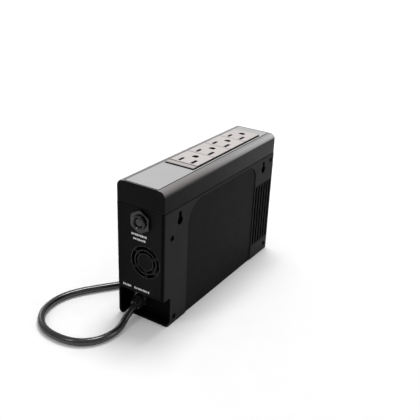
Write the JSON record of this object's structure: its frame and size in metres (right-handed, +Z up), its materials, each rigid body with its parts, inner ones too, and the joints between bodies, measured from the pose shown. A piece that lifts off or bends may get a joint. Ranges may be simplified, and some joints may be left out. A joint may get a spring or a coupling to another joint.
{
  "type": "uninterruptible power supply",
  "caption": "Slim upright battery backup unit with a row of grounded outlets along its top, a rear breaker and fan, wall-hanging keyholes and a captive supply cord.",
  "frame": {"origin": "middle of the housing's base, on the surface that it stands on", "axes": "+X towards the side with the keyholes, +Y towards the end with the power button, +Z up through the outlets"},
  "size_m": [0.1975, 0.2681, 0.125],
  "materials": {
    "black_housing": "fine-grained moulded plastic",
    "cap_plastic": "satin moulded plastic, silver grey on top and black on its sides",
    "inlay_plate": "satin silver paint",
    "outlet_plastic": "satin moulded plastic",
    "rubber": "matte",
    "screw_steel": "dark zinc plated",
    "brass": "stamped strip",
    "plug_brass": "polished",
    "breaker_plastic": "smooth moulded plastic",
    "button_plastic": "smooth moulded plastic",
    "fan_plastic": "moulded plastic",
    "core_iron": "pressed ferrite and laminations",
    "cord_jacket": "smooth black cable jacket",
    "strap": "woven hook-and-loop strap",
    "lens": "clear moulded plastic",
    "board": "solder mask",
    "cell_steel": "sleeved steel can",
    "nickel": "nickel strip",
    "sheet": "insulating sheet",
    "tape": "winding tape",
    "capacitor": "sleeved can",
    "heat_sink": "extruded",
    "wire": "wire insulation"
  },
  "bodies": {
    "root": {"base_pads": "rubber", "battery_board": "board", "battery_cells": "cell_steel", "board_standoffs": "screw_steel", "breaker_body": "breaker_plastic", "breaker_nut": "breaker_plastic", "breaker_terminals": "brass", "capacitors": "capacitor", "cell_holder_lower": "fan_plastic", "cell_holder_upper": "fan_plastic", "cell_links_bottom": "nickel", "cell_links_top": "nickel", "cord_coil": "cord_jacket", "cord_tie": "strap", "cover_screws": "screw_steel", "fan_frame": "fan_plastic", "fan_screws": "screw_steel", "fan_stator": "core_iron", "filter_choke": "core_iron", "ground_bus_bar": "brass", "ground_wire": "wire", "heat_sink": "heat_sink", "insulating_sheet": "sheet", "led_lens": "lens", "line_bus_bar": "brass", "line_wire": "wire", "main_board": "board", "main_shell": "black_housing", "neutral_bus_bar": "brass", "neutral_wire": "wire", "outlet_back_cover": "black_housing", "outlet_end_strip": "outlet_plastic", "outlet_face_1": "outlet_plastic", "outlet_face_2": "outlet_plastic", "outlet_face_3": "outlet_plastic", "outlet_face_4": "outlet_plastic", "outlet_housing": "black_housing", "plug_blades": "plug_brass", "plug_body": "cord_jacket", "power_cord": "cord_jacket", "power_transistors": "breaker_plastic", "push_switch": "fan_plastic", "relays": "fan_plastic", "side_cover": "black_housing", "status_led": "lens", "strain_relief": "cord_jacket", "switch_board": "board", "top_cap": "cap_plastic", "top_inlay": "inlay_plate", "transformer_core": "core_iron", "transformer_winding": "tape"},
    "reset_button": {"breaker_button": "button_plastic"},
    "fan": {"fan_rotor": "fan_plastic"},
    "power_button": {"power_button": "button_plastic"}
  },
  "joints": [
    {"name": "breaker_reset", "type": "slide", "parent": "root", "child": "reset_button", "axis": [0, -1, 0], "range_m": [0, 0.003]},
    {"name": "fan_spin", "type": "hinge", "parent": "root", "child": "fan", "pos_m": [0.0052, -0.085, 0.0582], "axis": [0, 1, 0], "continuous": true},
    {"name": "power_press", "type": "slide", "parent": "root", "child": "power_button", "axis": [0, -1, 0], "range_m": [0, 0.0015], "stiffness_N_per_m": 400}
  ]
}
